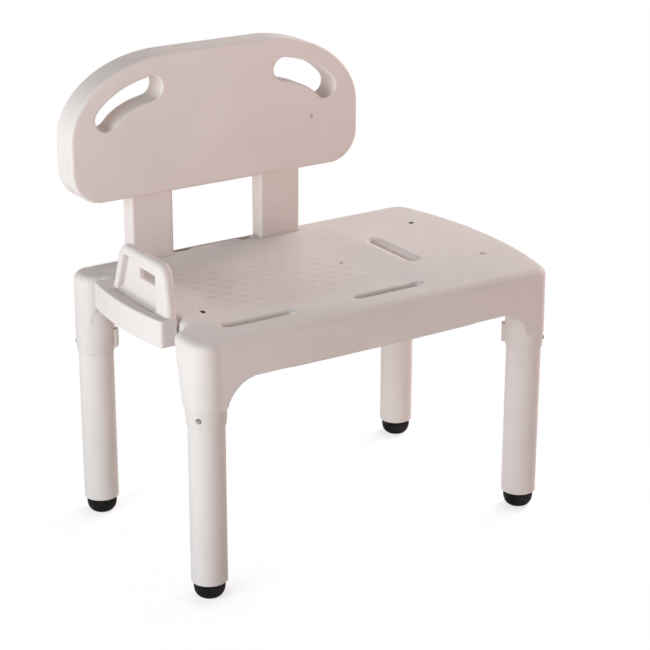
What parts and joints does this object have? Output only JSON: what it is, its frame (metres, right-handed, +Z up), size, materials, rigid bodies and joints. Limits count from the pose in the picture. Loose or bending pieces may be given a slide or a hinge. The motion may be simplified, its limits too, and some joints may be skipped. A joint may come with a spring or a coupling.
{
  "type": "bath transfer bench",
  "caption": "Moulded bath transfer bench with slotted seat, plug-in backrest with handholds, lift-off side arm and height-adjustable legs on rubber feet.",
  "frame": {"origin": "bottom centre of the bench's box, on the floor under the feet", "axes": "+Z up, +X towards the bowed right end away from the side arm, +Y towards the backrest"},
  "size_m": [0.6478, 0.4088, 0.708],
  "materials": {
    "seat": "satin moulded polyethylene",
    "backrest": "satin moulded polyethylene",
    "arm": "satin moulded polyethylene",
    "leg": "satin extruded plastic",
    "fitting": "satin moulded plastic",
    "rubber": "matte black rubber",
    "button": "grey moulded plastic",
    "steel": "stainless"
  },
  "bodies": {
    "seat": {"seat_shell": "seat", "leg_sleeve_front_left": "fitting", "leg_sleeve_front_right": "fitting", "leg_sleeve_rear_left": "fitting", "leg_sleeve_rear_right": "fitting"},
    "leg_front_left": {"leg_tube_front_left": "leg", "leg_plug_front_left": "fitting", "foot_front_left": "rubber"},
    "button_front_left": {"lock_button_front_left": "button"},
    "leg_front_right": {"leg_tube_front_right": "leg", "leg_plug_front_right": "fitting", "foot_front_right": "rubber"},
    "button_front_right": {"lock_button_front_right": "button"},
    "leg_rear_left": {"leg_tube_rear_left": "leg", "leg_plug_rear_left": "fitting", "foot_rear_left": "rubber"},
    "button_rear_left": {"lock_button_rear_left": "button"},
    "leg_rear_right": {"leg_tube_rear_right": "leg", "leg_plug_rear_right": "fitting", "foot_rear_right": "rubber"},
    "button_rear_right": {"lock_button_rear_right": "button"},
    "backrest": {"backrest_panel": "backrest", "backrest_post_left": "backrest", "backrest_post_right": "backrest", "post_screws": "steel"},
    "side_arm": {"side_arm": "arm"}
  },
  "joints": [
    {"name": "leg_height_front_left", "type": "slide", "parent": "seat", "child": "leg_front_left", "axis": [0, 0, -1], "range_m": [0, 0.0762]},
    {"name": "button_press_front_left", "type": "slide", "parent": "seat", "child": "button_front_left", "axis": [0.788, 0.6157, 0], "range_m": [0, 0.003], "stiffness_N_per_m": 600},
    {"name": "leg_height_front_right", "type": "slide", "parent": "seat", "child": "leg_front_right", "axis": [0, 0, -1], "range_m": [0, 0.0762]},
    {"name": "button_press_front_right", "type": "slide", "parent": "seat", "child": "button_front_right", "axis": [-0.788, 0.6157, 0], "range_m": [0, 0.003], "stiffness_N_per_m": 600},
    {"name": "leg_height_rear_left", "type": "slide", "parent": "seat", "child": "leg_rear_left", "axis": [0, 0, -1], "range_m": [0, 0.0762]},
    {"name": "button_press_rear_left", "type": "slide", "parent": "seat", "child": "button_rear_left", "axis": [0.788, -0.6157, 0], "range_m": [0, 0.003], "stiffness_N_per_m": 600},
    {"name": "leg_height_rear_right", "type": "slide", "parent": "seat", "child": "leg_rear_right", "axis": [0, 0, -1], "range_m": [0, 0.0762]},
    {"name": "button_press_rear_right", "type": "slide", "parent": "seat", "child": "button_rear_right", "axis": [-0.788, -0.6157, 0], "range_m": [0, 0.003], "stiffness_N_per_m": 600},
    {"name": "backrest_lift", "type": "slide", "parent": "seat", "child": "backrest", "axis": [0, 0, 1], "range_m": [0, 0.06]},
    {"name": "arm_lift", "type": "slide", "parent": "seat", "child": "side_arm", "axis": [0, 0, 1], "range_m": [0, 0.045]}
  ]
}
